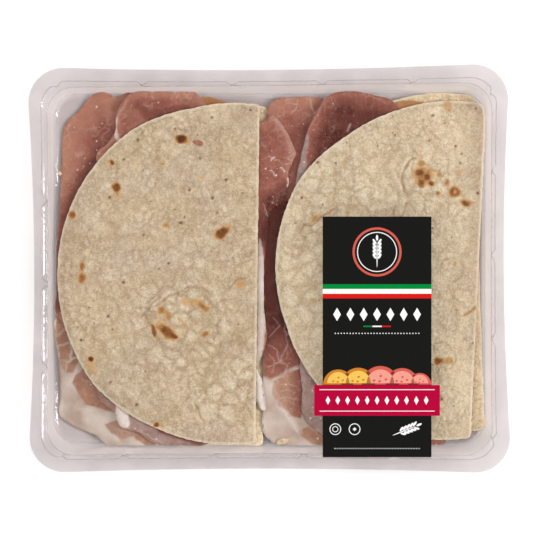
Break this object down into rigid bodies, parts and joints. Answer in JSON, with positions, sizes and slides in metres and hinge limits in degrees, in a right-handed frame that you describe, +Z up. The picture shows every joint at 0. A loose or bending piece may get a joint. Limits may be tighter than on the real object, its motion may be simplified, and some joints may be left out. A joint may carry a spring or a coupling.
{
  "type": "piadina pack",
  "caption": "Sealed clear tray of filled flatbread halves with cured ham and cheese, under a film lid with a plain dark label.",
  "frame": {"origin": "centre of the tray's underside, on the surface that the pack lies on", "axes": "+X along the pack's long side towards the labelled piadina, +Y along its short side away from the label's foot, +Z up through the film lid"},
  "size_m": [0.2747, 0.2328, 0.0263],
  "materials": {
    "clear_tray": "clear thermoformed plastic, glossy",
    "clear_film": "clear film, glossy",
    "printed_label": "satin printed card",
    "flatbread": "dry griddled flatbread with brown spots",
    "cheese": "smooth",
    "cured_ham": "moist sliced cured ham",
    "ham_fat": "moist ham fat with islands of lean"
  },
  "bodies": {
    "root": {"tray": "clear_tray", "lid_film": "clear_film", "label": "printed_label", "left_flatbread_bottom": "flatbread", "left_flatbread_top": "flatbread", "right_flatbread_bottom": "flatbread", "right_flatbread_top": "flatbread", "left_cheese": "cheese", "right_cheese": "cheese", "left_ham_back": "cured_ham", "left_ham_top": "cured_ham", "left_ham_inner": "cured_ham", "left_ham_fat": "ham_fat", "left_ham_fold": "ham_fat", "right_ham_back": "cured_ham", "right_ham_top": "cured_ham", "right_ham_fold": "ham_fat"}
  },
  "joints": []
}
